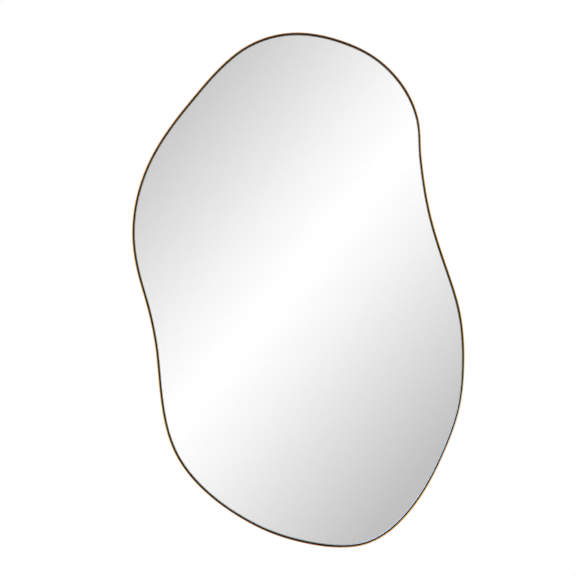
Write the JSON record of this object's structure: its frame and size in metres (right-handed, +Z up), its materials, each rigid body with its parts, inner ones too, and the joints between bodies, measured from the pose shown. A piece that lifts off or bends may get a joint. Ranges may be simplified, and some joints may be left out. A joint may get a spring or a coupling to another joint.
{
  "type": "irregular shaped mirror",
  "caption": "Tall pebble-shaped wall mirror in a thin brass rim, the glass floating on a black board that hangs from D-rings.",
  "frame": {"origin": "on the wall plane, behind the middle of the outline's width and height", "axes": "+X to the right as seen from the front, +Z up, +Y into the wall; the glass faces -Y"},
  "size_m": [0.656, 0.0265, 1.016],
  "materials": {
    "aged_brass": "aged brass, satin, brighter on the rounded front edge",
    "mirror_glass": "clear polished float glass",
    "silver_coat": "silvered, seen through the glass",
    "safety_film": "woven grey-blue vinyl",
    "foam_tape": "white closed-cell foam",
    "black_foam": "black closed-cell foam strip",
    "black_board": "black painted fibreboard, matt",
    "zinc_plate": "bright zinc plate",
    "black_rubber": "matt moulded"
  },
  "bodies": {
    "mirror": {"frame_rim": "aged_brass", "mirror_glass": "mirror_glass", "silver_coat": "silver_coat", "safety_film": "safety_film", "mounting_tape_1": "foam_tape", "mounting_tape_2": "foam_tape", "mounting_tape_3": "foam_tape", "mounting_tape_4": "foam_tape", "mounting_tape_5": "foam_tape", "edge_seal": "black_foam", "backing_board": "black_board", "panel_lug_1": "aged_brass", "panel_lug_2": "aged_brass", "panel_lug_3": "aged_brass", "panel_lug_4": "aged_brass", "panel_lug_5": "aged_brass", "panel_lug_6": "aged_brass", "panel_lug_7": "aged_brass", "panel_lug_8": "aged_brass", "lug_screw_1": "zinc_plate", "lug_screw_2": "zinc_plate", "lug_screw_3": "zinc_plate", "lug_screw_4": "zinc_plate", "lug_screw_5": "zinc_plate", "lug_screw_6": "zinc_plate", "lug_screw_7": "zinc_plate", "lug_screw_8": "zinc_plate", "hanger_strap_left": "zinc_plate", "hanger_strap_right": "zinc_plate", "hanger_screw_left_upper": "zinc_plate", "hanger_screw_left_lower": "zinc_plate", "hanger_screw_right_upper": "zinc_plate", "hanger_screw_right_lower": "zinc_plate", "wall_bumper_1": "black_rubber", "wall_bumper_2": "black_rubber", "wall_bumper_3": "black_rubber", "wall_bumper_4": "black_rubber"},
    "ring_left": {"hanger_ring_left": "zinc_plate"},
    "ring_right": {"hanger_ring_right": "zinc_plate"}
  },
  "joints": [
    {"name": "ring_left_swing", "type": "hinge", "parent": "mirror", "child": "ring_left", "pos_m": [-0.15496, -0.0047, 0.25], "axis": [-1, 0, 0], "range_deg": [0, 179]},
    {"name": "ring_right_swing", "type": "hinge", "parent": "mirror", "child": "ring_right", "pos_m": [0.16503, -0.0047, 0.25], "axis": [-1, 0, 0], "range_deg": [0, 179]}
  ]
}
